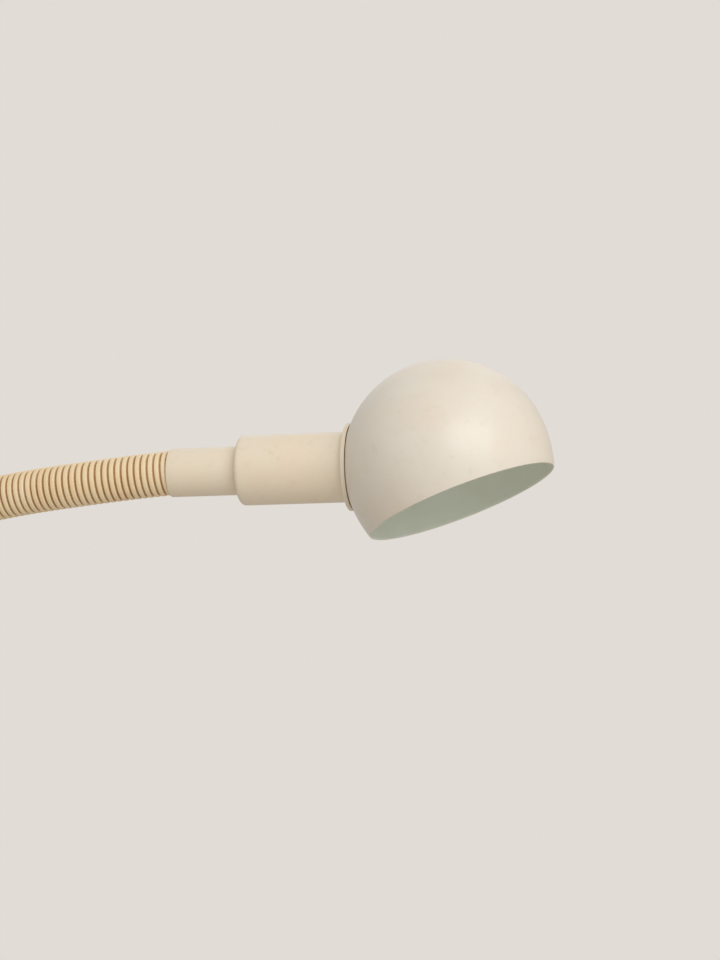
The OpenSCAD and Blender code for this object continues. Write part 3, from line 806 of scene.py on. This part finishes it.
def makeBaseCover():
    size = {"wall": 1.6 * mm, "round": 8 * mm, "studHole": 5.2 * mm, "switchHole": 12.55 * mm,
            "switchDepth": 8 * mm, "glandHole": 6.05 * mm, "glandReach": 20 * mm, "skirt": 6 * mm}
    low, high, radius = spanOf("base_cover", Vector(), up)
    inner, ceiling, stud = radius - size["wall"], high - size["wall"], size["studHole"]
    corners = [(stud, high, 0)]
    corners += [(radius * share, high, 0) for share in (0.25, 0.5, 0.75, 0.9)]
    corners += [(radius, high, size["round"]), (radius, low + size["skirt"], 0), (radius, low, 0.5 * mm),
                (inner, low, 0.3 * mm), (inner, ceiling, size["round"] - size["wall"]),
                (radius * 0.5, ceiling, 0), (stud, ceiling, 0)]
    place = placeAlong(Vector(), up)
    piece = lathe("baseCover", softened(corners, 10), place, [agedEnamel], 224)
    switchAt, glandAt = middleOf("switch_bezel"), middleOf("cable_gland")
    switchAt.z = ceiling - 2 * mm
    drill(piece, switchAt, up, size["switchHole"], size["switchDepth"])
    outside = Vector((-radius - 5 * mm, 0, glandAt.z))
    drill(piece, outside, Vector((1, 0, 0)), size["glandHole"], size["glandReach"])
    standIn(piece, "enamel", "base_cover")


def makePad():
    low, high, radius = spanOf("base_pad", Vector(), up)
    edge = 0.4 * mm
    corners = [(0, low, 0), (radius * 0.5, low, 0), (radius, low, edge), (radius, high, edge), (0, high, 0)]
    piece = lathe("basePad", softened(corners), placeAlong(Vector(), up), [padRubber], 160)
    standIn(piece, "pad", "base_pad")


def makeBezel():
    # chromed ring that stands on the base cover, with a neck down through it
    size = {"lip": 3.5 * mm, "ring": 5.9 * mm, "round": 1.8 * mm}
    low, high, _ = spanOf("switch_bezel", Vector(), up)
    middle = middleOf("switch_bezel")
    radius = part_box("switch_bezel")[1][0] - middle.x
    deck = spanOf("base_cover", Vector(), up)[1]
    neck, bore = radius - size["lip"], radius - size["ring"]
    outline = softened([(bore, low, 0), (neck, low, 0.3 * mm), (neck, deck, 0), (radius, deck, 0.2 * mm),
                        (radius, high, size["round"]), (bore, high, 0.6 * mm)])
    place = placeAlong(Vector((middle.x, middle.y, 0)), up)
    piece = lathe("switchBezel", outline, place, [chromedSteel], 96)
    standIn(piece, "steel", "switch_bezel")


def makeButton():
    # flanged button with a shallow dish in its top
    size = {"flange": 1.7 * mm, "flangeHeight": 2 * mm, "dish": 0.6 * mm, "round": 2.6 * mm}
    low, high, _ = spanOf("switch_button", Vector(), up)
    middle = middleOf("switch_button")
    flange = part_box("switch_button")[1][0] - middle.x
    r, step = flange - size["flange"], low + size["flangeHeight"]
    dish = high - size["dish"]
    outline = softened([(0, low, 0), (flange, low, 0.3 * mm), (flange, step, 0.3 * mm), (r, step, 0),
                        (r, high, size["round"]), (r * 0.55, high, 2 * mm), (r * 0.3, dish, 2 * mm),
                        (0, dish, 0)], 7)
    place = placeAlong(Vector((middle.x, middle.y, 0)), up)
    piece = lathe("switchButton", outline, place, [switchPlastic], 96)
    standIn(piece, "switch_plastic", "switch_button")


def makeGland():
    low, high = (Vector(c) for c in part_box("cable_gland"))
    place = placeAlong(Vector((low.x, 0, (low.z + high.z) / 2)), Vector((1, 0, 0)))
    radius, length = (high.z - low.z) / 2, high.x - low.x
    size = {"bore": 3.6 * mm, "lip": 2.4 * mm, "head": 3 * mm}
    bore, neck, head = size["bore"], radius - size["lip"], size["head"]
    outline = softened([(bore, 0, 0.6 * mm), (radius, 0, 1.1 * mm), (radius, head, 0.3 * mm),
                        (neck, head, 0), (neck, length, 0.4 * mm), (bore, length, 0.2 * mm)])
    piece = lathe("cableGland", outline, place, [darkPlastic], 72)
    standIn(piece, "dark_plastic", "cable_gland")


makeStem()
makeCollar()
makeBaseCover()
makePad()
makeBezel()
makeButton()
makeGland()
print("stem and base made")


# lampholder and bulb

def makeLampholder():
    # glazed barrel with a coarse rounded thread for the ring that clamps the dome
    size = {"pitch": 2.6 * mm, "depth": 0.45 * mm, "turns": 12, "hole": 5.05 * mm, "bevel": 0.8 * mm,
            "plainEnd": 2.2 * mm, "edge": 0.9 * mm, "mouth": 13.6 * mm, "mouthDepth": 30 * mm}
    low, high, radius = spanOf("lampholder", headMouth, headAxis)
    root, pitch, shoulder = radius - size["depth"], size["pitch"], high - size["plainEnd"]
    mouth, inside = size["mouth"], high - size["mouthDepth"]
    outline = [(size["hole"], low), (radius - size["bevel"], low), (radius, low + size["bevel"])]
    for i in range(size["turns"]):
        z = high - pitch * size["turns"] - size["plainEnd"] + i * pitch
        outline += [(radius, z), (radius, z + pitch * 0.35)]
        outline += [(root, z + pitch * 0.55), (root, z + pitch * 0.8)]
    outline += softened([(radius, shoulder, 0), (radius, high, size["edge"]), (mouth, high, size["edge"]),
                         (mouth, inside, 0)])
    outline += [(size["hole"], inside)]
    piece = lathe("lampholderBarrel", outline, headPlace, [porcelain], 112)
    standIn(piece, "porcelain", "lampholder")


def makeBulb():
    low, high, radius = spanOf("bulb_glass", headMouth, headAxis)
    size = {"wall": 0.8 * mm, "neck": 13 * mm, "throat": 3 * mm, "flare": 2 * mm}
    wall, neck, flare = size["wall"], size["neck"], size["flare"]
    globe = high - radius
    seam = math.degrees(math.asin(neck * 1.12 / radius))
    outside = arc((0, globe), radius, 90, -90 + seam, 40)
    inside = arc((0, globe), radius - wall, -90 + seam, 90, 40)
    outside[0], inside[-1] = (0, high), (0, high - wall)
    under = outside[-1][1] - size["throat"]
    throat = softened([(*outside[-1], 0), (neck, under, flare), (neck, low, 0.3 * mm),
                       (neck - wall, low, 0), (neck - wall, under, flare), (*inside[0], 0)])[1:-1]
    piece = lathe("bulbGlass", outside + throat + inside, headPlace, [opalGlass], 112)
    standIn(piece, "bulb_glass", "bulb_glass")


def makeWasher():
    size = {"bore": 22.2 * mm, "play": 0.1 * mm, "thickness": 0.35 * mm}
    _, _, radius = spanOf("friction_washer", headMouth, headAxis)
    domeZ = (domeCentre - headMouth).dot(headAxis)
    domeRadius = spanOf("shade", domeCentre, headAxis)[2] + size["play"]

    def dish(r, ball):
        return r, domeZ - math.sqrt(ball ** 2 - r ** 2)

    across = [size["bore"] + (radius - size["bore"]) * k / 6 for k in range(7)]
    outline = [dish(r, domeRadius + size["thickness"]) for r in across]
    outline += [dish(r, domeRadius) for r in reversed(across)]
    piece = lathe("frictionWasher", outline, headPlace, [darkPlastic], 144)
    standIn(piece, "dark_plastic", "friction_washer")


makeLampholder()
makeBulb()
makeWasher()
print("lampholder and bulb made")


# nodes that keep their own mesh

def dress():
    coats = {
        castIron: ["base_weight"],
        plainSteel: ["stem_plug", "stem_washer", "base_screws", "ferrule_screw", "sleeve_screw",
                     "switch_spring", "bulb_cap"],
        agedBrass: ["stem_stud", "stem_nut", "nipple", "nipple_nut", "lampholder_contacts"],
        darkPlastic: ["cord_clamp", "switch_body"],
        porcelain: ["terminal_block", "shade_ring"],
        flexSheath: ["switch_lead", "stem_flex", "head_flex"],
    }
    coats[plainSteel] += [name for name in nodes if name.startswith("neck_core_")]
    for material, names in coats.items():
        for name in names:
            mesh = nodes[name].data
            mesh.materials.clear()
            mesh.materials.append(material)


dress()
print("remaining nodes dressed")
